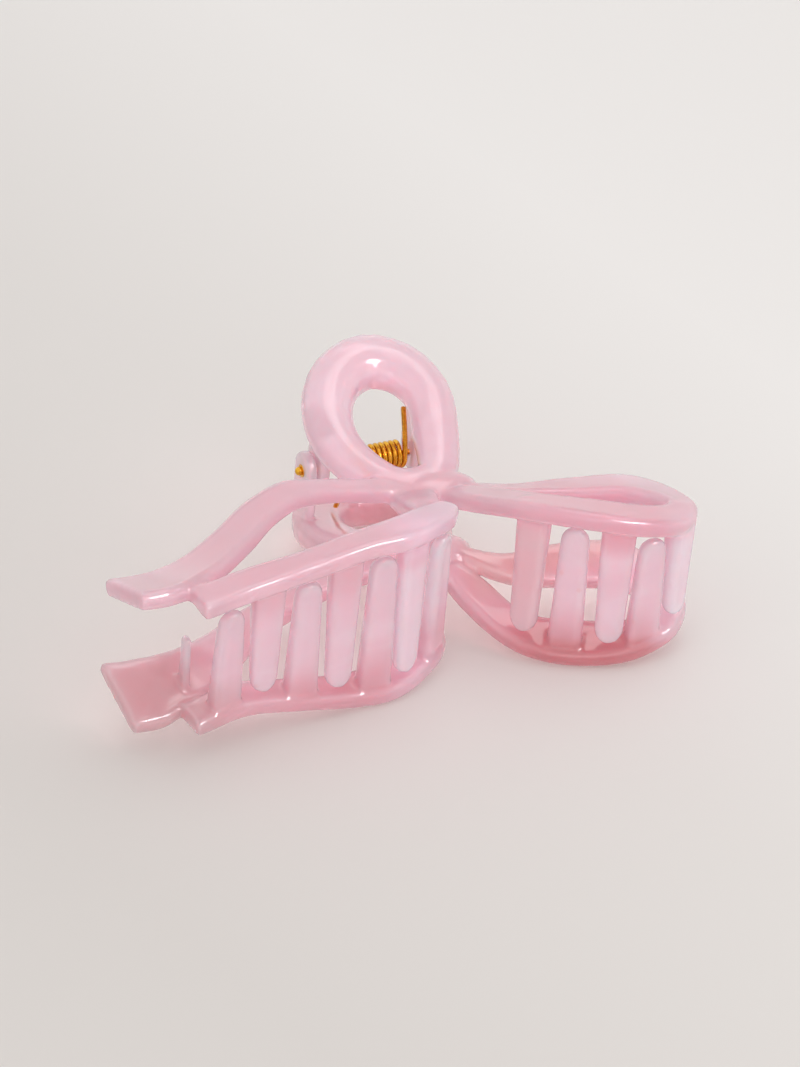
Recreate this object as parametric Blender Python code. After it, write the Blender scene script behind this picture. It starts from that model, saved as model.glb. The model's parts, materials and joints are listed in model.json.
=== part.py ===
"""Bow-shaped claw clip: two interlocking jaws on a hinge pin, held shut by a torsion spring.

Each jaw is one moulding in the form of a ribbon bow. A knot joins a thick finger ring behind it,
a closed loop to the right and two tails to the left. Teeth hang from the loop and the front tail.

Units are metres. The jaws are drawn in the clip's own frame: X along the hinge pin, Y to the back,
Z away from the plane where the jaws meet. A parent empty on the hinge axis then lays the shut clip
down on its lower jaw, so that it rests on the ground at Z = 0.
"""
import math

import bmesh
import bpy
import numpy as np
from mathutils import Matrix, Vector

MM = 0.001

# Hinge pin and lugs
PIN_DIAMETER = 1.2 * MM
PIN_HEAD_DIAMETER = 2.2 * MM
PIN_CLEARANCE = 0.3 * MM
LUG_RADIUS = 4.0 * MM
LUG_THICKNESS = 2.3 * MM
LUG_GAP = 0.4 * MM
LUG_SIDES = 24
LUG_ROOT_SPAN = (-4.0 * MM, 3.4 * MM)
LUG_ROOT_HEIGHT = 13.0 * MM
OUTER_LUG_FACE = 14.4 * MM
HEAD_ANGLES = (25.0, 55.0, 85.0)
PIN_SIDES = 16

# Torsion spring
WIRE_DIAMETER = 0.85 * MM
COIL_MEAN_DIAMETER = 5.1 * MM
COIL_PITCH = 1.32 * MM
COIL_TURNS = 12
POINTS_PER_TURN = 9
LEG_REACH = 11.3 * MM
LEG_LEAN = 3.0 * MM
LEAST_WIRE_GAP = 0.4 * MM

# Moulded sections
RIBBON_THICKNESS = 4.0 * MM
RIBBON_CORNER = 1.3 * MM
CORNER_POINTS = 3
SECTION_SPACING = 2.2
RING_SECTION_SPACING = 2.6
RING_SECTION_POINTS = 14
RING_CROWN_SHARE = 0.56
RING_BASE_POWER = 0.7
RING_SLOPE = 0.33
WELD_DISTANCE = 0.02 * MM
SHARP_ANGLE = math.radians(38.0)

# Teeth
TOOTH_ROOT_WIDTH = 7.4 * MM
TOOTH_TIP_WIDTH = 5.8 * MM
TOOTH_ROOT_DEPTH = 4.2 * MM
TOOTH_TIP_DEPTH = 3.0 * MM
TOOTH_RECESS = 0.7 * MM
TOOTH_TIP_GAP = 1.5 * MM
TOOTH_ROOT_SINK = 1.4 * MM
TOOTH_TIP_ANGLES = (30.0, 55.0, 75.0)
UPPER_TEETH = ((-42.9, -26.2, -10.2), (15.2, 31.1, 47.4))
LOWER_TEETH = ((-50.9, -34.3, -18.1, -1.5), (22.8, 39.2))
STOP_FIN_PLACE = (-57.6 * MM, -46.6 * MM)
STOP_FIN_SIZE = (1.8 * MM, 3.6 * MM)
STOP_FIN_SPAN = (14.0 * MM, 0.0 * MM)
STOP_FIN_TAPER = 0.75

# Ribbon edges on the outer face, in millimetres: pairs of one edge and the other
BACK_TAIL = (
    ((4.1, -19.9, 9.7), (0.1, -26.7, 10.5)),
    ((-9.0, -21.0, 12.3), (-9.5, -26.4, 12.5)),
    ((-20.5, -21.6, 14.9), (-19.5, -26.9, 14.7)),
    ((-28.4, -22.0, 16.3), (-26.4, -28.7, 16.3)),
    ((-37.7, -25.6, 15.9), (-34.2, -32.9, 16.6)),
    ((-47.9, -32.1, 14.2), (-43.5, -40.5, 16.8)),
    ((-57.8, -36.9, 12.5), (-54.9, -48.3, 16.8)),
    ((-65.6, -38.1, 11.8), (-64.1, -52.7, 17.8)),
    ((-72.8, -37.4, 11.7), (-70.5, -52.7, 18.0)),
)
FRONT_TAIL = (
    ((1.9, -40.4, 16.8), (1.9, -43.1, 17.5)),
    ((0.0, -39.0, 17.1), (0.4, -45.7, 18.4)),
    ((-4.9, -41.0, 18.7), (-4.6, -49.7, 19.9)),
    ((-14.9, -45.1, 20.1), (-14.1, -54.0, 21.1)),
    ((-22.6, -46.3, 19.7), (-21.5, -54.2, 21.0)),
    ((-34.3, -47.3, 17.9), (-34.4, -54.8, 18.7)),
    ((-46.6, -47.5, 16.2), (-47.1, -55.6, 16.6)),
    ((-59.6, -51.0, 16.5), (-59.0, -59.2, 16.6)),
)
LOOP = (
    ((8.3, -22.9, 9.3), (8.3, -27.5, 10.0)),
    ((19.5, -28.5, 10.1), (19.0, -34.9, 12.5)),
    ((32.8, -29.4, 9.6), (30.3, -38.8, 13.0)),
    ((45.5, -32.9, 10.0), (40.0, -41.8, 13.4)),
    ((51.6, -42.8, 11.6), (44.6, -46.4, 14.2)),
    ((52.3, -50.6, 13.1), (45.6, -49.4, 15.0)),
    ((47.4, -57.6, 14.9), (43.0, -51.2, 15.8)),
    ((38.3, -59.6, 17.6), (38.0, -50.3, 16.3)),
    ((26.1, -56.1, 19.6), (29.8, -46.7, 16.8)),
    ((15.5, -48.9, 19.2), (20.0, -41.4, 16.6)),
    ((7.0, -36.0, 14.3), (13.4, -31.8, 12.8)),
    ((3.8, -26.7, 10.0), (8.3, -25.3, 9.8)),
)
NECK = (
    ((-5.9, -24.8, 10.4), (4.3, -25.7, 10.4)),
    ((-5.9, -31.3, 12.2), (2.7, -31.2, 12.2)),
    ((-7.6, -43.1, 18.8), (-0.9, -42.3, 18.0)),
)

# Finger ring centre line, in millimetres: place, limb width and limb height
FINGER_RING = (
    (5.2, -21.2, 8.1, 8.0, 6.4),
    (10.9, -9.2, 12.2, 10.0, 7.8),
    (12.2, -0.7, 15.0, 10.4, 8.2),
    (8.6, 6.4, 17.3, 11.8, 8.6),
    (2.3, 9.2, 18.2, 12.4, 8.8),
    (-4.8, 6.6, 17.3, 11.8, 8.6),
    (-9.6, 0.2, 15.2, 11.0, 8.2),
    (-10.9, -8.2, 12.4, 10.2, 7.8),
    (-7.8, -15.8, 9.9, 9.2, 7.0),
    (-1.1, -21.4, 8.1, 8.0, 6.4),
)
KNOT_CENTRE = (5.0, -24.2, 8.0)
KNOT_HALF_SIZE = (9.2, 5.4, 3.4)
KNOT_TURN = math.radians(-8.0)

SETTLE_ROUNDS = 12

PINK = (0.77, 0.45, 0.53, 1.0)
GOLD = (0.83, 0.55, 0.16, 1.0)

UP = Vector((0.0, 0.0, 1.0))
MIRROR = Matrix.Diagonal((1.0, 1.0, -1.0, 1.0))


def clear_scene():
    """Remove whatever the file holds."""
    for obj in list(bpy.data.objects):
        bpy.data.objects.remove(obj, do_unlink=True)


def new_collection(name):
    """Collection linked to the scene."""
    collection = bpy.data.collections.new(name)
    bpy.context.scene.collection.children.link(collection)
    return collection


def principled(name, colour, roughness, metallic):
    """Plain surface material."""
    material = bpy.data.materials.new(name)
    material.use_nodes = True
    shader = material.node_tree.nodes["Principled BSDF"]
    shader.inputs["Base Color"].default_value = colour
    shader.inputs["Roughness"].default_value = roughness
    shader.inputs["Metallic"].default_value = metallic
    return material


def smooth_through(knots, spacing, closed=False):
    """Samples about one spacing apart on a smooth curve through the knots, of any dimension."""
    knots = np.asarray(knots, dtype=float)
    count = len(knots)
    following = np.roll(knots, -1, axis=0)
    spans = np.linalg.norm(following - knots, axis=1)
    slopes = (following - knots) / spans[:, None]
    tangents = np.empty_like(knots)
    for i in range(count):
        before = (i - 1) % count
        weight = spans[i] / (spans[i] + spans[before])
        tangents[i] = slopes[before] * weight + slopes[i] * (1.0 - weight)
    if not closed:
        tangents[0] = slopes[0]
        tangents[-1] = slopes[-2]
    samples = []
    for i in range(count if closed else count - 1):
        steps = max(1, round(spans[i] / spacing))
        for step in range(steps):
            t = step / steps
            start = (1.0 + 2.0 * t) * (1.0 - t) ** 2 * knots[i] + t * (1.0 - t) ** 2 * spans[i] * tangents[i]
            j = (i + 1) % count
            end = t * t * (3.0 - 2.0 * t) * knots[j] - t * t * (1.0 - t) * spans[i] * tangents[j]
            samples.append(start + end)
    if not closed:
        samples.append(knots[-1])
    return np.array(samples)


def rounded_rectangle(width, thickness, corner):
    """Section points (across, up) of a ribbon whose outer face lies at up = 0."""
    radius = min(corner, 0.45 * width, 0.45 * thickness)
    corners = (
        (width / 2 - radius, -radius, 0.0),
        (-width / 2 + radius, -radius, 90.0),
        (-width / 2 + radius, -thickness + radius, 180.0),
        (width / 2 - radius, -thickness + radius, 270.0),
    )
    points = []
    for across, up, first_angle in corners:
        for k in range(CORNER_POINTS):
            angle = math.radians(first_angle + 90.0 * k / (CORNER_POINTS - 1))
            points.append((across + radius * math.cos(angle), up + radius * math.sin(angle)))
    return points


def domed_section(width, height):
    """Section points (across, up) of a ring limb: a domed outer face and a flatter inner one."""
    crown = height * RING_CROWN_SHARE
    base = height - crown
    points = []
    for k in range(RING_SECTION_POINTS):
        angle = 2.0 * math.pi * (k + 0.5) / RING_SECTION_POINTS
        across = math.cos(angle)
        up = math.sin(angle)
        if up < 0.0:
            across = math.copysign(abs(across) ** RING_BASE_POWER, across)
            up = -(abs(up) ** RING_BASE_POWER)
        points.append((across * width / 2, up * (crown if up > 0.0 else base)))
    return points


def loft(name, sections, closed=False):
    """Solid through a row of sections that have equal numbers of points."""
    bm = bmesh.new()
    rings = [[bm.verts.new(point) for point in section] for section in sections]
    spans = len(rings) if closed else len(rings) - 1
    sides = len(rings[0])
    for i in range(spans):
        here = rings[i]
        there = rings[(i + 1) % len(rings)]
        for k in range(sides):
            n = (k + 1) % sides
            bm.faces.new((here[k], here[n], there[n], there[k]))
    if not closed:
        bm.faces.new(rings[0])
        bm.faces.new(rings[-1])
    bmesh.ops.recalc_face_normals(bm, faces=bm.faces)
    return bm_object(name, bm)


def bm_object(name, bm):
    """Object made from a bmesh, which is freed."""
    mesh = bpy.data.meshes.new(name)
    bm.to_mesh(mesh)
    bm.free()
    obj = bpy.data.objects.new(name, mesh)
    tools.objects.link(obj)
    obj.hide_render = True
    obj.display_type = "WIRE"
    return obj


def ribbon_edges(pairs):
    """Smoothed edges of a ribbon, in metres: two rows of points."""
    knots = [first + second for first, second in pairs]
    samples = smooth_through(knots, SECTION_SPACING) * MM
    return [Vector(s[:3]) for s in samples], [Vector(s[3:]) for s in samples]


def ribbon(name, pairs):
    """Flat moulded band between two edges."""
    first, second = ribbon_edges(pairs)
    middle = [(a + b) / 2 for a, b in zip(first, second)]
    sections = []
    for i, centre in enumerate(middle):
        run = middle[min(i + 1, len(middle) - 1)] - middle[max(i - 1, 0)]
        across = (second[i] - first[i]).normalized()
        normal = across.cross(run).normalized()
        if normal.dot(UP) < 0.0:
            normal = -normal
        outline = rounded_rectangle((second[i] - first[i]).length, RIBBON_THICKNESS, RIBBON_CORNER)
        sections.append([centre + across * u + normal * v for u, v in outline])
    return loft(name, sections)


def finger_ring(name):
    """Thick closed ring that the fingers squeeze, sloping outwards to the back."""
    samples = smooth_through(FINGER_RING, RING_SECTION_SPACING, closed=True) * MM
    normal = Vector((0.0, -RING_SLOPE, 1.0)).normalized()
    count = len(samples)
    sections = []
    for i, sample in enumerate(samples):
        run = Vector(samples[(i + 1) % count][:3]) - Vector(samples[i - 1][:3])
        across = run.cross(normal).normalized()
        outline = domed_section(sample[3], sample[4])
        sections.append([Vector(sample[:3]) + across * u + normal * v for u, v in outline])
    return loft(name, sections, closed=True)


def knot(name):
    """Rounded pad where the ribbons of the bow cross."""
    bm = bmesh.new()
    bmesh.ops.create_uvsphere(bm, u_segments=20, v_segments=10, radius=1.0)
    size = Matrix.Diagonal((*(half * MM for half in KNOT_HALF_SIZE), 1.0))
    place = Matrix.Translation(Vector(KNOT_CENTRE) * MM) @ Matrix.Rotation(KNOT_TURN, 4, "Z")
    bmesh.ops.transform(bm, matrix=place @ size, verts=bm.verts)
    return bm_object(name, bm)


def rail_point(pairs, x, front):
    """Point of a rail's front edge at a place along the hinge, and the edge's direction there."""
    edge = ribbon_edges(pairs)[front]
    crossings = []
    for here, there in zip(edge, edge[1:]):
        if min(here.x, there.x) <= x <= max(here.x, there.x):
            point = here.lerp(there, (x - here.x) / (there.x - here.x))
            crossings.append((point, there - here))
    return min(crossings, key=lambda crossing: crossing[0].y)


def tooth(name, pairs, x, front):
    """Tapered tooth with a round tip, hanging from a rail down to the rail of the other jaw."""
    edge, along = rail_point(pairs, x, front)
    along = Vector((along.x, along.y, 0.0)).normalized()
    if along.x < 0.0:
        along = -along
    inward = Vector((-along.y, along.x, 0.0))
    root_z = edge.z - TOOTH_ROOT_SINK
    tip_z = -(edge.z - RIBBON_THICKNESS - TOOTH_TIP_GAP)
    round_start = tip_z + TOOTH_TIP_WIDTH / 2
    levels = [(root_z, 1.0), (0.5 * (root_z + round_start), 1.0), (round_start, 1.0)]
    for angle in TOOTH_TIP_ANGLES:
        drop = TOOTH_TIP_WIDTH / 2 * math.sin(math.radians(angle))
        levels.append((round_start - drop, math.cos(math.radians(angle))))
    sections = []
    for z, narrowing in levels:
        share = (root_z - z) / (root_z - tip_z)
        width = (TOOTH_ROOT_WIDTH + (TOOTH_TIP_WIDTH - TOOTH_ROOT_WIDTH) * share) * narrowing
        depth = (TOOTH_ROOT_DEPTH + (TOOTH_TIP_DEPTH - TOOTH_ROOT_DEPTH) * share) * (0.5 + 0.5 * narrowing)
        face = Vector((edge.x, edge.y, z)) + inward * TOOTH_RECESS
        outline = rounded_rectangle(width, depth, RIBBON_CORNER)
        sections.append([face + along * u - inward * v for u, v in outline])
    return loft(name, sections)


def stop_fin(name):
    """Thin upright fin near the cut end of the lower back tail."""
    x, y = STOP_FIN_PLACE
    foot, top = STOP_FIN_SPAN
    sections = []
    for z, share in ((foot, 1.0), (top, STOP_FIN_TAPER)):
        half_x = STOP_FIN_SIZE[0] / 2 * share
        half_y = STOP_FIN_SIZE[1] / 2 * share
        corners = ((-half_x, -half_y), (half_x, -half_y), (half_x, half_y), (-half_x, half_y))
        sections.append([Vector((x + dx, y + dy, z)) for dx, dy in corners])
    return loft(name, sections)


def lug(name, face, side):
    """Hinge ear: a round eye on the pin, rising into the ring's limb."""
    bm = bmesh.new()
    for x in (side * face, side * (face - LUG_THICKNESS)):
        for k in range(LUG_SIDES):
            angle = 2.0 * math.pi * k / LUG_SIDES
            bm.verts.new((x, LUG_RADIUS * math.cos(angle), LUG_RADIUS * math.sin(angle)))
        for y in LUG_ROOT_SPAN:
            bm.verts.new((x, y, LUG_ROOT_HEIGHT + RING_SLOPE * y))
    hull = bmesh.ops.convex_hull(bm, input=bm.verts)
    bmesh.ops.delete(bm, geom=hull["geom_interior"], context="VERTS")
    return bm_object(name, bm)


def pin_bore(name):
    """Cutter for the eyes of the lugs."""
    bm = bmesh.new()
    radius = PIN_DIAMETER / 2 + PIN_CLEARANCE
    bmesh.ops.create_cone(
        bm, cap_ends=True, segments=LUG_SIDES, radius1=radius, radius2=radius, depth=4 * OUTER_LUG_FACE)
    bmesh.ops.rotate(bm, verts=bm.verts, matrix=Matrix.Rotation(math.pi / 2, 3, "Y"))
    return bm_object(name, bm)


def fuse(name, pieces, cutter):
    """One moulding from overlapping pieces, with the pin's bore cut through."""
    body = pieces[0]
    for operation, tool in [("UNION", piece) for piece in pieces[1:]] + [("DIFFERENCE", cutter)]:
        step = body.modifiers.new(tool.name, "BOOLEAN")
        step.operation = operation
        step.solver = "EXACT"
        step.use_self = True
        step.object = tool
    bpy.context.view_layer.update()
    mesh = bpy.data.meshes.new_from_object(body.evaluated_get(bpy.context.evaluated_depsgraph_get()))
    bm = bmesh.new()
    bm.from_mesh(mesh)
    bmesh.ops.remove_doubles(bm, verts=bm.verts, dist=WELD_DISTANCE)
    bmesh.ops.dissolve_degenerate(bm, edges=bm.edges, dist=WELD_DISTANCE)
    bmesh.ops.triangulate(bm, faces=bm.faces)
    bm.to_mesh(mesh)
    bm.free()
    for tool in pieces + [cutter]:
        bpy.data.objects.remove(tool, do_unlink=True)
    return finished(name, mesh)


def finished(name, mesh):
    """Named part of the clip, shaded smooth, hung on the hinge axis."""
    mesh.name = name
    mesh.shade_smooth()
    mesh.set_sharp_from_angle(angle=SHARP_ANGLE)
    obj = bpy.data.objects.new(name, mesh)
    clip.objects.link(obj)
    obj.parent = hinge
    return obj


def jaw(name, teeth, lug_face, lower):
    """Whole jaw moulding. The lower jaw is the upper one's mirror image, with its own teeth and lugs."""
    pieces = [
        finger_ring("ring"),
        knot("knot"),
        ribbon("back_tail", BACK_TAIL),
        ribbon("front_tail", FRONT_TAIL),
        ribbon("loop", LOOP),
        ribbon("neck", NECK),
    ]
    tail_teeth, loop_teeth = teeth
    pieces += [tooth("tooth", FRONT_TAIL, x * MM, 1) for x in tail_teeth]
    pieces += [tooth("tooth", LOOP, x * MM, 0) for x in loop_teeth]
    pieces += [lug("lug", lug_face, side) for side in (-1.0, 1.0)]
    if lower:
        pieces.append(stop_fin("stop_fin"))
    obj = fuse(name, pieces, pin_bore("pin_bore"))
    if lower:
        obj.data.transform(MIRROR)
        obj.data.flip_normals()
    obj.data.materials.append(principled(name, PINK, 0.16, 0.0))
    return obj


def hinge_pin(name):
    """Pin with a round head beyond each outer lug, turned about X."""
    bm = bmesh.new()
    shaft = PIN_DIAMETER / 2
    head = PIN_HEAD_DIAMETER / 2
    face = OUTER_LUG_FACE + PIN_CLEARANCE
    profile = [(0.0, face + 1.5 * head)]
    for angle in HEAD_ANGLES:
        turn = math.radians(angle)
        profile.append((head * math.sin(turn), face + 0.5 * head + head * math.cos(turn)))
    profile.append((head, face))
    profile.append((shaft, face))
    profile += [(radius, -x) for radius, x in reversed(profile)]
    rim = [bm.verts.new((x, 0.0, radius)) for radius, x in profile]
    edges = [bm.edges.new(pair) for pair in zip(rim, rim[1:])]
    bmesh.ops.spin(
        bm, geom=rim + edges, cent=(0.0, 0.0, 0.0), axis=(1.0, 0.0, 0.0),
        angle=2.0 * math.pi, steps=PIN_SIDES, use_merge=True)
    bmesh.ops.remove_doubles(bm, verts=bm.verts, dist=WELD_DISTANCE)
    bmesh.ops.recalc_face_normals(bm, faces=bm.faces)
    mesh = bpy.data.meshes.new(name)
    bm.to_mesh(mesh)
    bm.free()
    obj = finished(name, mesh)
    obj.data.materials.append(principled(name, GOLD, 0.22, 1.0))
    return obj


def spring_path():
    """Centre line of the wire: a leg to the lower ring, the coil, and a leg to the upper ring."""
    radius = COIL_MEAN_DIAMETER / 2
    half = COIL_TURNS * COIL_PITCH / 2
    steps = COIL_TURNS * POINTS_PER_TURN
    coil = []
    for k in range(steps + 1):
        turn = 2.0 * math.pi * k / POINTS_PER_TURN
        x = -half + COIL_PITCH * k / POINTS_PER_TURN
        coil.append(Vector((x, -radius * math.cos(turn), radius * math.sin(turn))))
    square = Vector((0.0, -RING_SLOPE, 1.0)).normalized() * WIRE_DIAMETER * 1.2
    top = Vector((half, -radius + LEG_LEAN, LEG_REACH))
    upper_leg = [Vector((half, -radius + 0.25 * LEG_LEAN, 0.4 * LEG_REACH)), top - square, top]
    lower_leg = [Vector((-point.x, point.y, -point.z)) for point in reversed(upper_leg)]
    return lower_leg + coil + upper_leg


def least_gap(points):
    """Least distance between the surfaces of the wire's turns."""
    least = math.inf
    for i, a in enumerate(points):
        for b in points[i + POINTS_PER_TURN // 2 + 1:]:
            least = min(least, (a - b).length - WIRE_DIAMETER)
    return least


def torsion_spring(name):
    """Coil round the pin with a leg at each end, one unbroken wire."""
    points = spring_path()
    gap = least_gap(points)
    print(f"{name}: least gap between turns {gap / MM:.2f} mm, limit {LEAST_WIRE_GAP / MM:.2f} mm")
    curve = bpy.data.curves.new(name, "CURVE")
    curve.dimensions = "3D"
    curve.bevel_depth = WIRE_DIAMETER / 2
    curve.bevel_resolution = 1
    curve.use_fill_caps = True
    spline = curve.splines.new("POLY")
    spline.points.add(len(points) - 1)
    for control, point in zip(spline.points, points):
        control.co = (*point, 1.0)
    obj = bpy.data.objects.new(name, curve)
    clip.objects.link(obj)
    obj.parent = hinge
    obj.data.materials.append(principled(name, GOLD, 0.25, 1.0))
    return obj


def settle(lower_jaw):
    """Turn of the shut clip that sets its ring, its front tail and its loop on one level."""
    points = np.array([v.co[:] for v in lower_jaw.data.vertices])
    behind = points[:, 1] > 0.0
    right = points[:, 0] > LOOP[0][0][0] * MM
    feet = (behind, ~behind & ~right, ~behind & right)
    turn = Matrix.Identity(3)
    for _ in range(SETTLE_ROUNDS):
        placed = points @ np.array(turn).T
        back, left, loop = (placed[mask][np.argmin(placed[mask][:, 2])] for mask in feet)
        normal = Vector(left - back).cross(Vector(loop - back)).normalized()
        if normal.z < 0.0:
            normal = -normal
        turn = normal.rotation_difference(UP).to_matrix() @ turn
    spin = math.atan2(turn[1][0], turn[0][0])
    return Matrix.Rotation(-spin, 3, "Z") @ turn


def lay_down(parts, lower_jaw):
    """Set the hinge empty so that the clip rests on Z = 0 with its box centred on the origin."""
    turn = settle(lower_jaw).to_4x4()
    corners = []
    for part in parts:
        corners += [turn @ Vector(corner[:]) for corner in hull_points(part)]
    low = Vector([min(c[axis] for c in corners) for axis in range(3)])
    high = Vector([max(c[axis] for c in corners) for axis in range(3)])
    middle = (low + high) / 2
    hinge.matrix_world = Matrix.Translation((-middle.x, -middle.y, -low.z)) @ turn
    bpy.context.view_layer.update()


def hull_points(part):
    """Points of a part's evaluated surface, in the clip's frame."""
    evaluated = part.evaluated_get(bpy.context.evaluated_depsgraph_get())
    mesh = evaluated.to_mesh()
    points = [vertex.co.copy() for vertex in mesh.vertices]
    evaluated.to_mesh_clear()
    return points


clear_scene()
clip = new_collection("bow_claw_clip")
tools = new_collection("moulding_pieces")
hinge = bpy.data.objects.new("hinge_axis", None)
clip.objects.link(hinge)

inner_lug_face = OUTER_LUG_FACE - LUG_THICKNESS - LUG_GAP
lower = jaw("lower_jaw", LOWER_TEETH, OUTER_LUG_FACE, True)
upper = jaw("upper_jaw", UPPER_TEETH, inner_lug_face, False)
pin = hinge_pin("hinge_pin")
spring = torsion_spring("torsion_spring")
bpy.context.view_layer.update()
lay_down([lower, upper, pin, spring], lower)

axis = hinge.matrix_world.to_3x3() @ Vector((-1.0, 0.0, 0.0))
print("hinge point", [round(c, 6) for c in hinge.matrix_world.translation])
print("opening axis", [round(c, 6) for c in axis])
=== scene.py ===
"""Bow claw clip in pearly pink plastic with a gold spring, lying shut on a pale floor."""
import json
import math

import bpy
from mathutils import Euler, Matrix, Vector


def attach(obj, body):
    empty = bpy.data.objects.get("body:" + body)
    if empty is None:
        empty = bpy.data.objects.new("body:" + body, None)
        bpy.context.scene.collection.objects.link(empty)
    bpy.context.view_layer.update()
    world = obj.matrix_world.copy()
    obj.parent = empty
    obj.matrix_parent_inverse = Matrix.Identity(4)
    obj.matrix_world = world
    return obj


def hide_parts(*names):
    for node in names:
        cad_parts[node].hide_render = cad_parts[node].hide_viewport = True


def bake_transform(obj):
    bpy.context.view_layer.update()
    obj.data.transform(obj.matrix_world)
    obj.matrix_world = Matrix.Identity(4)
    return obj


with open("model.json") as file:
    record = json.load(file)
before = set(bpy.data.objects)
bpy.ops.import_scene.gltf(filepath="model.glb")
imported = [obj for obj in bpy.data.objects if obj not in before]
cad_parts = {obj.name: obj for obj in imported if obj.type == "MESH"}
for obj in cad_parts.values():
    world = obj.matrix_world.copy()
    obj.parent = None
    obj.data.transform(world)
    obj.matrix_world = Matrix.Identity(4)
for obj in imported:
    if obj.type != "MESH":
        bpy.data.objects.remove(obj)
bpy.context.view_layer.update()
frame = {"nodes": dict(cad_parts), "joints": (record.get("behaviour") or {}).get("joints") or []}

MM = 0.001

# Hinge axis of the shut clip, as the frame gives it, and the clip's tilt on the floor
HINGE_POINT = Vector(frame["joints"][0]["pos_m"])
HINGE_TILT = Euler((math.radians(2.6806), math.radians(2.2383), 0.0))
HINGE = Matrix.Translation(HINGE_POINT) @ HINGE_TILT.to_matrix().to_4x4()

# Jaw mouldings
WELD_DISTANCE = 0.005 * MM
SKIN_SIZE = 0.41 * MM
SKIN_ROUNDS = 15
SKIN_STEPS = 6

# Cut ends of the tails, and the band of height between them that the teeth fill
TAIL_BACK_EDGE = -55.0 * MM
TAIL_FRONT_EDGE = -44.5 * MM
TAIL_SPLIT = -30.5 * MM
TAIL_FADE = 4.0 * MM
TAIL_STEPS = 40
TAIL_SOFTNESS = 0.5
TEETH_FROM = 12.0 * MM
TEETH_TO = 30.0 * MM

# Spring wire
WIRE_DIAMETER = 1.05 * MM
WIRE_SIDES = 14
WIRE_END_FLATNESS = 0.05 * MM
WIRE_CREASE = math.radians(50.0)
COIL_RADIUS = 2.55 * MM
COIL_PITCH = 1.13 * MM
COIL_TURNS = 12
COIL_START = -5.65 * MM
COIL_END = COIL_START + COIL_TURNS * COIL_PITCH
COIL_STEPS = 32
LEG_REACH = 11.3 * MM
LEG_LEAN = 3.0 * MM
LEG_CURVE = 1.5
LEG_STEPS = 5

# Hinge pin, with the angles at which each head's ball is stepped from its neck to its tip
PIN_RADIUS = 0.6 * MM
PIN_FACE = 14.45 * MM
PIN_SIDES = 32
PIN_CREASE = math.radians(45.0)
PIN_HEAD_RADIUS = 0.95 * MM
PIN_HEAD_NECK = -20.0
PIN_HEAD_ANGLES = (-10.0, 0.0, 15.0, 30.0, 45.0, 60.0, 72.0, 82.0, 90.0)
PIN_HEAD_TIP = 0.08

# Plastic's colours
PEARL = ((0.25, (0.885, 0.605, 0.685)), (0.52, (0.902, 0.650, 0.730)), (0.80, (0.920, 0.700, 0.785)))
# Painted glow of light through the thin edges
PAINTED_EDGE_GLOW = (0.920, 0.560, 0.560)
LIGHT_THROUGH = (0.985, 0.96, 0.955)

# Painted light and shade on the plastic: colour, then the (axis, none, full) limits in mm between which
# it sets in
LOWER_PAINTED_LIGHT_AND_SHADE = (
    # Painted shade: the rails darker and deeper towards the floor
    ((0.765, 0.425, 0.485), (("Z", 18, 4),)),
    # Painted shadow of the upper jaw's tails on the broad end of the lower tails
    ((0.690, 0.450, 0.480), (("Z", 19, 13), ("X", -34, -52))),
    # Painted shade on the underside of the loop
    ((0.630, 0.240, 0.270), (("Z", 8, 3.5), ("X", 15, 30), ("X", 56, 48))),
    # Painted light at the loop's bend, which lifts the painted shade there
    ((0.900, 0.640, 0.720), (("Z", 3, 7), ("X", 46, 54))),
    # Painted shade on the fold of the front rail, and painted light on the tooth in it
    ((0.870, 0.565, 0.655), (("Z", 14, 6), ("X", -12, 2), ("Y", -20, -26), ("X", 18, 12))),
    ((1.000, 0.735, 0.820), (("Z", 10, 24), ("X", -2, 4), ("X", 14, 10))),
    # Painted shade on the back ribbon of the loop, deeper lower down
    ((0.790, 0.500, 0.520), (("Z", 18, 14), ("Y", -18, -12), ("X", 16, 24))),
)
UPPER_PAINTED_LIGHT_AND_SHADE = (
    # Painted shade on the ribbons' tops, and deeper on those of the loop
    ((0.840, 0.540, 0.610), (("Z", 26, 34), ("Y", 4, -4))),
    ((0.820, 0.450, 0.530), (("Z", 26, 32), ("Y", 4, -4), ("X", 20, 34), ("X", 56, 49))),
    # Painted light on the fold of the front ribbon, and on the tooth below it
    ((0.980, 0.650, 0.760), (("Z", 32, 36), ("Y", -16, -20), ("X", -10, 2), ("X", 18, 12))),
    ((1.000, 0.735, 0.825), (("Z", 36, 30), ("Y", -24, -28), ("X", -8, -3), ("X", 18, 12))),
    # Painted light on the loop's last tooth, and painted shade on its first
    ((1.000, 0.745, 0.830), (("Z", 32, 26), ("X", 50, 56))),
    ((0.840, 0.570, 0.620), (("Z", 35, 30), ("X", 22, 25), ("X", 35, 31))),
)

# Gold of the wire and the pin
GOLD = ((0.3, (0.66, 0.33, 0.025)), (0.7, (0.85, 0.49, 0.060)))

# Floor, with painted light that makes it paler towards the window
FLOOR_SIZE = 6.0
FLOOR_DROP = -0.2 * MM
FLOOR_TURN = (0.0, 0.0, -0.25)
PAPER_AND_PAINTED_LIGHT = ((0.0, (0.745, 0.713, 0.690)), (0.5, (0.825, 0.797, 0.777)), (1.0, (0.940, 0.920, 0.908)))

# Light
SKY = (1.0, 0.985, 0.97)
SKY_LEVEL = 0.68
SKY_LEVEL_SEEN = 1.0
LAMP_TARGET = (0.0, -0.01, 0.02)

# Camera
CAMERA_PLACE = (-0.442675, -1.047638, 0.802309)
CAMERA_TURN = (55.5077, -1.1939, -22.509)
CAMERA_LENS = 302.4
CAMERA_SENSOR = 36.0


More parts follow.
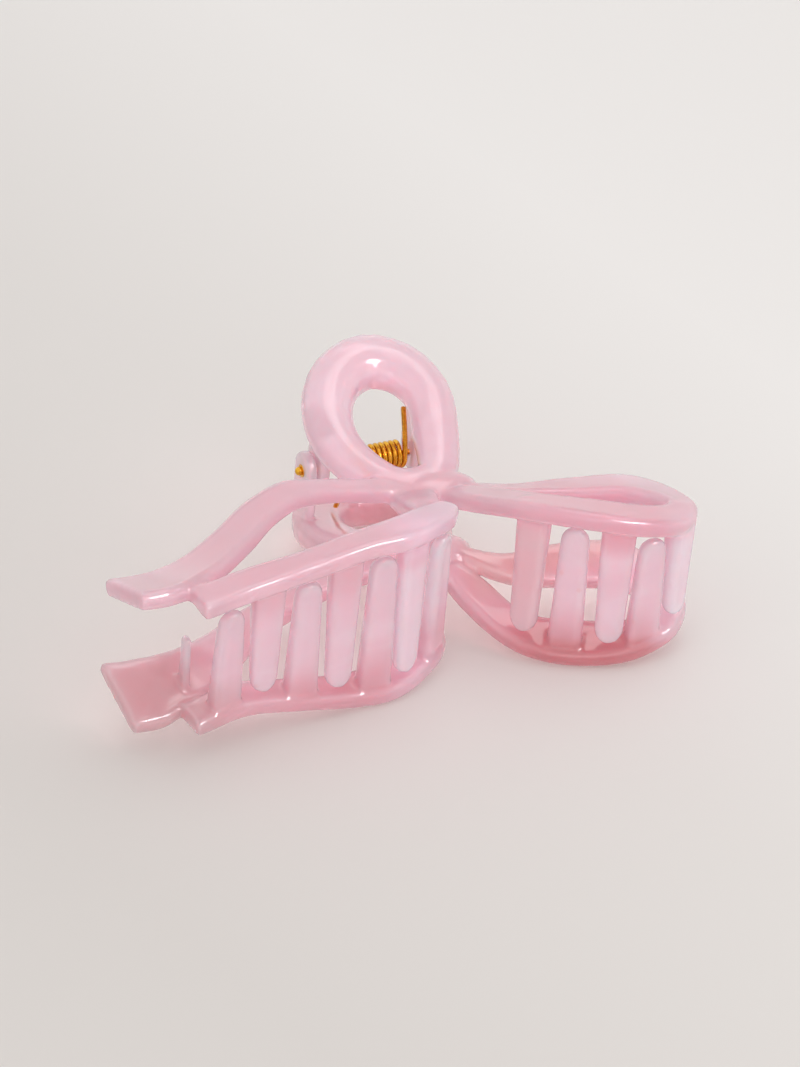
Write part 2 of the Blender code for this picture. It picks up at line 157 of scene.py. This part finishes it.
def select_only(piece):
    """Make one piece the only selected and active one."""
    bpy.ops.object.select_all(action="DESELECT")
    piece.select_set(True)
    bpy.context.view_layer.objects.active = piece


def apply_modifier(piece, kind, **settings):
    """Add a modifier and apply it at once."""
    modifier = piece.modifiers.new(kind.lower(), kind)
    for name, value in settings.items():
        setattr(modifier, name, value)
    select_only(piece)
    bpy.ops.object.modifier_apply(modifier=modifier.name)


def apply_place(piece):
    """Put a piece's place into its mesh."""
    select_only(piece)
    bpy.ops.object.transform_apply(location=True, rotation=True, scale=True)


def deselect_in_edit_mode(piece, kind):
    """Leave edit mode with nothing selected, ready to select faces or edges in code."""
    select_only(piece)
    bpy.ops.object.mode_set(mode="EDIT")
    bpy.ops.mesh.select_mode(type=kind)
    bpy.ops.mesh.select_all(action="DESELECT")
    bpy.ops.object.mode_set(mode="OBJECT")


def set_on_hinge(piece):
    """Lay a piece that was modelled on the hinge axis where the clip's hinge is."""
    piece.matrix_world = HINGE
    apply_place(piece)


def jaw_moulding(jaw):
    """Jaw as it leaves the mould: no facets, and soft fillets where ribbons and teeth run together."""
    piece = bpy.data.objects.new(jaw + "_moulding", frame["nodes"][jaw].data.copy())
    bpy.context.scene.collection.objects.link(piece)
    select_only(piece)
    bpy.ops.object.mode_set(mode="EDIT")
    bpy.ops.mesh.select_all(action="SELECT")
    bpy.ops.mesh.remove_doubles(threshold=WELD_DISTANCE)
    bpy.ops.object.mode_set(mode="OBJECT")
    apply_modifier(piece, "REMESH", mode="VOXEL", voxel_size=SKIN_SIZE)
    for _ in range(SKIN_ROUNDS):
        apply_modifier(piece, "SMOOTH", factor=1.0, iterations=SKIN_STEPS)
        apply_modifier(piece, "SMOOTH", factor=-1.0, iterations=SKIN_STEPS)
    round_tail_ends(piece)
    bpy.ops.object.shade_smooth()
    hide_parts(jaw)
    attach(piece, jaw)
    return piece


def round_tail_ends(piece):
    """Take the sharp corners off the ribbon's cut ends."""
    ends = piece.vertex_groups.new(name="tail_ends")
    for point in piece.data.vertices:
        on_front_tail = point.co.y < TAIL_SPLIT and not TEETH_FROM < point.co.z < TEETH_TO
        edge = TAIL_FRONT_EDGE if on_front_tail else TAIL_BACK_EDGE
        share = (edge - point.co.x) / TAIL_FADE
        if share > 0.0:
            ends.add([point.index], min(share, 1.0), "REPLACE")
    apply_modifier(
        piece, "SMOOTH", factor=TAIL_SOFTNESS, iterations=TAIL_STEPS, vertex_group=ends.name)
    piece.vertex_groups.clear()


def spring_wire():
    """Torsion spring: a coil swept from the wire's section, with a leg drawn out of each end."""
    bpy.ops.object.select_all(action="DESELECT")
    bpy.ops.mesh.primitive_circle_add(
        vertices=WIRE_SIDES, radius=WIRE_DIAMETER / 2, fill_type="NOTHING",
        location=(COIL_START, -COIL_RADIUS, 0.0))
    piece = bpy.context.object
    piece.name = "spring_wire"
    apply_place(piece)
    apply_modifier(
        piece, "SCREW", axis="X", angle=-math.tau, screw_offset=COIL_PITCH, iterations=COIL_TURNS,
        steps=COIL_STEPS, render_steps=COIL_STEPS, use_merge_vertices=False)
    draw_leg(piece, -1.0, COIL_START)
    draw_leg(piece, 1.0, COIL_END)
    select_only(piece)
    bpy.ops.object.mode_set(mode="EDIT")
    bpy.ops.mesh.select_all(action="SELECT")
    bpy.ops.mesh.fill_holes(sides=0)
    bpy.ops.mesh.select_all(action="SELECT")
    bpy.ops.mesh.normals_make_consistent(inside=False)
    bpy.ops.object.mode_set(mode="OBJECT")
    set_on_hinge(piece)
    bpy.ops.object.shade_smooth_by_angle(angle=WIRE_CREASE)
    return piece


def draw_leg(piece, side, start):
    """Extrude the wire's open end along its leg, leaning back towards the finger ring."""
    deselect_in_edit_mode(piece, "EDGE")
    points = piece.data.vertices
    end = Vector((start, -COIL_RADIUS, 0.0))
    for edge in piece.data.edges:
        places = [points[i].co for i in edge.vertices]
        edge.select = all(
            (place - end).length < 0.6 * WIRE_DIAMETER and abs(place.z) < WIRE_END_FLATNESS
            for place in places)
    bpy.ops.object.mode_set(mode="EDIT")
    reached = Vector((0.0, 0.0))
    for step in range(1, LEG_STEPS + 1):
        share = step / LEG_STEPS
        aim = Vector((LEG_LEAN * share ** LEG_CURVE, side * LEG_REACH * share))
        move = aim - reached
        bpy.ops.mesh.extrude_edges_move(TRANSFORM_OT_translate={"value": (0.0, move.x, move.y)})
        reached = aim
    bpy.ops.object.mode_set(mode="OBJECT")


def pin_with_heads():
    """Hinge pin: a drawn shaft with a ball head pressed up at each end."""
    bpy.ops.object.select_all(action="DESELECT")
    bpy.ops.mesh.primitive_cylinder_add(
        vertices=PIN_SIDES, radius=PIN_RADIUS, depth=2.0 * PIN_FACE,
        rotation=(0.0, math.pi / 2, 0.0))
    piece = bpy.context.object
    piece.name = "pin_with_heads"
    apply_place(piece)
    for side in (-1.0, 1.0):
        press_head(piece, side)
    set_on_hinge(piece)
    bpy.ops.object.shade_smooth_by_angle(angle=PIN_CREASE)
    return piece


def press_head(piece, side):
    """Widen the shaft's end face to the head's neck, and step it out into a ball."""
    deselect_in_edit_mode(piece, "FACE")
    for face in piece.data.polygons:
        face.select = face.normal.x * side > 0.9
    bpy.ops.object.mode_set(mode="EDIT")
    before = math.radians(PIN_HEAD_NECK)
    flare = PIN_HEAD_RADIUS * math.cos(before) / PIN_RADIUS
    extrude_and_scale(0.0, flare)
    for angle in PIN_HEAD_ANGLES:
        turn = math.radians(angle)
        move = side * PIN_HEAD_RADIUS * (math.sin(turn) - math.sin(before))
        extrude_and_scale(move, max(math.cos(turn), PIN_HEAD_TIP) / math.cos(before))
        before = turn
    bpy.ops.object.mode_set(mode="OBJECT")


def extrude_and_scale(move, scale):
    """Extrude the selected faces along the pin and scale them about its axis."""
    bpy.ops.mesh.extrude_region_move(TRANSFORM_OT_translate={"value": (move, 0.0, 0.0)})
    bpy.ops.transform.resize(value=(1.0, scale, scale), center_override=(0.0, 0.0, 0.0))


def node(tree, kind, **settings):
    """Shader node with its settings."""
    made = tree.nodes.new(kind)
    for name, value in settings.items():
        setattr(made, name, value)
    return made


def set_sockets(made, **values):
    """Set a node's inputs, whose names are written with _ for a space."""
    for name, value in values.items():
        made.inputs[name.replace("_", " ")].default_value = value


def colour_ramp(tree, stops):
    """Colour ramp with the given (place, colour) stops."""
    ramp = node(tree, "ShaderNodeValToRGB")
    elements = ramp.color_ramp.elements
    for element, (place, colour) in zip(elements, stops):
        element.position = place
        element.color = (*colour, 1.0)
    for place, colour in stops[len(elements):]:
        elements.new(place).color = (*colour, 1.0)
    return ramp


def new_material(name):
    """Empty material, with its node tree, its shader and its Object coordinates."""
    material = bpy.data.materials.new(name)
    material.use_nodes = True
    tree = material.node_tree
    place = node(tree, "ShaderNodeTexCoord").outputs["Object"]
    return material, tree, tree.nodes["Principled BSDF"], place


def mix_painted_light_and_shade(tree, where, colour, tint, limits):
    """Mix in a colour of painted light and shade where every (axis, none, full) limit in mm is met."""
    share = None
    for axis, none, full in limits:
        limit = node(tree, "ShaderNodeMapRange", interpolation_type="SMOOTHSTEP")
        set_sockets(limit, From_Min=none * MM, From_Max=full * MM)
        tree.links.new(where.outputs[axis], limit.inputs["Value"])
        if share is None:
            share = limit.outputs["Result"]
            continue
        both = node(tree, "ShaderNodeMath", operation="MULTIPLY")
        tree.links.new(share, both.inputs[0])
        tree.links.new(limit.outputs["Result"], both.inputs[1])
        share = both.outputs["Value"]
    return mixed(tree, share, colour, tint)


def mixed(tree, share, colour, other):
    """Mix a fixed colour into another by a share."""
    mix = node(tree, "ShaderNodeMix", data_type="RGBA")
    tree.links.new(share, mix.inputs["Factor"])
    tree.links.new(colour, mix.inputs["A"])
    mix.inputs["B"].default_value = (*other, 1.0)
    return mix.outputs["Result"]


def pearl_clouds(tree, place):
    """Faint pearl clouds, drawn out along the clip."""
    stretch = node(tree, "ShaderNodeMapping")
    set_sockets(stretch, Scale=(0.6, 1.0, 1.0))
    tree.links.new(place, stretch.inputs["Vector"])
    clouds = node(tree, "ShaderNodeTexNoise")
    set_sockets(clouds, Scale=70.0, Detail=2.0, Distortion=1.2)
    tree.links.new(stretch.outputs["Vector"], clouds.inputs["Vector"])
    pearl = colour_ramp(tree, PEARL)
    tree.links.new(clouds.outputs["Fac"], pearl.inputs["Fac"])
    return pearl.outputs["Color"]


def painted_peach_edge_glow(tree, colour):
    """Painted glow: peach along the thin edges, standing in for light that scatters through the plastic
    there.
    """
    form = node(tree, "ShaderNodeNewGeometry")
    rim = node(tree, "ShaderNodeMapRange")
    set_sockets(rim, From_Min=0.52, From_Max=0.62, To_Max=0.55)
    tree.links.new(form.outputs["Pointiness"], rim.inputs["Value"])
    return mixed(tree, rim.outputs["Result"], colour, PAINTED_EDGE_GLOW)


def moulded_ripple(tree, place):
    """Very slight waviness of a moulded face."""
    ripple = node(tree, "ShaderNodeTexNoise")
    set_sockets(ripple, Scale=160.0, Detail=1.0)
    tree.links.new(place, ripple.inputs["Vector"])
    bump = node(tree, "ShaderNodeBump")
    set_sockets(bump, Strength=0.05, Distance=0.0004)
    tree.links.new(ripple.outputs["Fac"], bump.inputs["Height"])
    return bump.outputs["Normal"]


def pearl_plastic(name, painted_light_and_shade):
    """Milky translucent pink plastic that lets lamplight through, under a polished skin."""
    material, tree, shader, place = new_material(name)
    colour = painted_peach_edge_glow(tree, pearl_clouds(tree, place))
    where = node(tree, "ShaderNodeSeparateXYZ")
    tree.links.new(place, where.inputs["Vector"])
    # Painted light and shade, set in by place on the clip
    for tint, limits in painted_light_and_shade:
        colour = mix_painted_light_and_shade(tree, where, colour, tint, limits)
    tree.links.new(colour, shader.inputs["Base Color"])
    tree.links.new(moulded_ripple(tree, place), shader.inputs["Normal"])
    set_sockets(
        shader, Roughness=0.18, IOR=1.49, Transmission_Weight=0.4,
        Subsurface_Weight=1.0, Subsurface_Radius=(1.0, 0.55, 0.6), Subsurface_Scale=0.010,
        Sheen_Weight=0.18, Sheen_Roughness=0.4, Sheen_Tint=(0.95, 0.86, 1.0, 1.0),
        Coat_Weight=0.9, Coat_Roughness=0.06)
    ray = node(tree, "ShaderNodeLightPath")
    glow = node(tree, "ShaderNodeBsdfTransparent")
    set_sockets(glow, Color=(*LIGHT_THROUGH, 1.0))
    body = node(tree, "ShaderNodeMixShader")
    tree.links.new(ray.outputs["Is Shadow Ray"], body.inputs["Fac"])
    tree.links.new(shader.outputs["BSDF"], body.inputs[1])
    tree.links.new(glow.outputs["BSDF"], body.inputs[2])
    tree.links.new(body.outputs["Shader"], tree.nodes["Material Output"].inputs["Surface"])
    return material


def gold_wire_metal():
    """Bright gold plating with faint drawing marks."""
    material, tree, shader, place = new_material("gold_plated_steel")
    marks = node(tree, "ShaderNodeTexNoise")
    set_sockets(marks, Scale=900.0, Detail=2.0)
    tree.links.new(place, marks.inputs["Vector"])
    tint = colour_ramp(tree, GOLD)
    tree.links.new(marks.outputs["Fac"], tint.inputs["Fac"])
    tree.links.new(tint.outputs["Color"], shader.inputs["Base Color"])
    polish = node(tree, "ShaderNodeMapRange")
    set_sockets(polish, To_Min=0.12, To_Max=0.26)
    tree.links.new(marks.outputs["Fac"], polish.inputs["Value"])
    tree.links.new(polish.outputs["Result"], shader.inputs["Roughness"])
    set_sockets(shader, Metallic=1.0)
    return material


def warm_white_paper():
    """Matt warm off-white, with painted light that pales it across the floor towards the window."""
    material, tree, shader, place = new_material("warm_white_paper")
    turn = node(tree, "ShaderNodeMapping")
    set_sockets(turn, Rotation=FLOOR_TURN)
    tree.links.new(place, turn.inputs["Vector"])
    across = node(tree, "ShaderNodeSeparateXYZ")
    tree.links.new(turn.outputs["Vector"], across.inputs["Vector"])
    # Painted light: the floor pales along this turned axis
    side = node(tree, "ShaderNodeMapRange")
    set_sockets(side, From_Min=-0.09, From_Max=0.13)
    tree.links.new(across.outputs["X"], side.inputs["Value"])
    paper = colour_ramp(tree, PAPER_AND_PAINTED_LIGHT)
    tree.links.new(side.outputs["Result"], paper.inputs["Fac"])
    tree.links.new(paper.outputs["Color"], shader.inputs["Base Color"])
    set_sockets(shader, Roughness=0.85, Specular_IOR_Level=0.2)
    return material


def paint(piece, material):
    """Give a piece one material."""
    piece.data.materials.clear()
    piece.data.materials.append(material)


def pale_floor():
    """Wide flat floor under the clip."""
    bpy.ops.object.select_all(action="DESELECT")
    bpy.ops.mesh.primitive_plane_add(size=FLOOR_SIZE, location=(0.0, 0.0, FLOOR_DROP))
    floor = bpy.context.object
    floor.name = "floor"
    paint(floor, warm_white_paper())


def soft_box(name, place, size, watts, colour):
    """Large soft lamp that faces the clip."""
    lamp = bpy.data.lights.new(name, "AREA")
    lamp.shape = "RECTANGLE"
    lamp.size, lamp.size_y = size
    lamp.energy = watts
    lamp.color = colour
    obj = bpy.data.objects.new(name, lamp)
    obj.location = place
    facing = Vector(LAMP_TARGET) - Vector(place)
    obj.rotation_euler = facing.to_track_quat("-Z", "Y").to_euler()
    bpy.context.scene.collection.objects.link(obj)
    return obj


def even_sky():
    """Even white surroundings, brighter where they are seen, mirrored or looked at through plastic."""
    world = bpy.data.worlds.new("studio")
    bpy.context.scene.world = world
    world.use_nodes = True
    tree = world.node_tree
    sky = tree.nodes["Background"]
    set_sockets(sky, Color=(*SKY, 1.0))
    ray = node(tree, "ShaderNodeLightPath")
    seen = node(tree, "ShaderNodeMath", operation="MAXIMUM")
    tree.links.new(ray.outputs["Is Camera Ray"], seen.inputs[0])
    tree.links.new(ray.outputs["Is Glossy Ray"], seen.inputs[1])
    clear = node(tree, "ShaderNodeMath", operation="MAXIMUM")
    tree.links.new(seen.outputs["Value"], clear.inputs[0])
    tree.links.new(ray.outputs["Is Transmission Ray"], clear.inputs[1])
    level = node(tree, "ShaderNodeMapRange")
    set_sockets(level, To_Min=SKY_LEVEL, To_Max=SKY_LEVEL_SEEN)
    tree.links.new(clear.outputs["Value"], level.inputs["Value"])
    tree.links.new(level.outputs["Result"], sky.inputs["Strength"])


def studio():
    """Even sky, a soft box overhead, one in front that leaves no glare, and a window for gloss alone."""
    even_sky()
    soft_box("overhead", (0.35, 0.25, 1.10), (0.6, 0.6), 1.5, SKY)
    front = soft_box("front", (-0.30, -1.15, 0.55), (0.9, 0.6), 6.0, (1.0, 0.985, 0.98))
    front.visible_glossy = False
    window = soft_box("window", (0.45, -0.75, 0.95), (0.6, 0.4), 9.0, (1.0, 0.97, 1.0))
    window.visible_diffuse = False
    window.visible_transmission = False
    bpy.context.scene.view_settings.view_transform = "Standard"


def camera():
    """Long lens at the photograph's angle."""
    data = bpy.data.cameras.new("camera")
    data.lens = CAMERA_LENS
    data.sensor_fit = "HORIZONTAL"
    data.sensor_width = CAMERA_SENSOR
    obj = bpy.data.objects.new("camera", data)
    obj.location = CAMERA_PLACE
    obj.rotation_euler = [math.radians(angle) for angle in CAMERA_TURN]
    bpy.context.scene.collection.objects.link(obj)
    bpy.context.scene.camera = obj


# Each jaw's plastic carries its own painted light and shade, so the two are lit and shaded copies of one
# plastic
lower_pink = pearl_plastic("pearl_pink_lower", LOWER_PAINTED_LIGHT_AND_SHADE)
upper_pink = pearl_plastic("pearl_pink_upper", UPPER_PAINTED_LIGHT_AND_SHADE)
gold = gold_wire_metal()

paint(jaw_moulding("lower_jaw"), lower_pink)
paint(jaw_moulding("upper_jaw"), upper_pink)

spring = spring_wire()
paint(spring, gold)
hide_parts("torsion_spring")
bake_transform(spring)

pin = pin_with_heads()
paint(pin, gold)
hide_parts("hinge_pin")
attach(pin, "lower_jaw")

pale_floor()
studio()
camera()
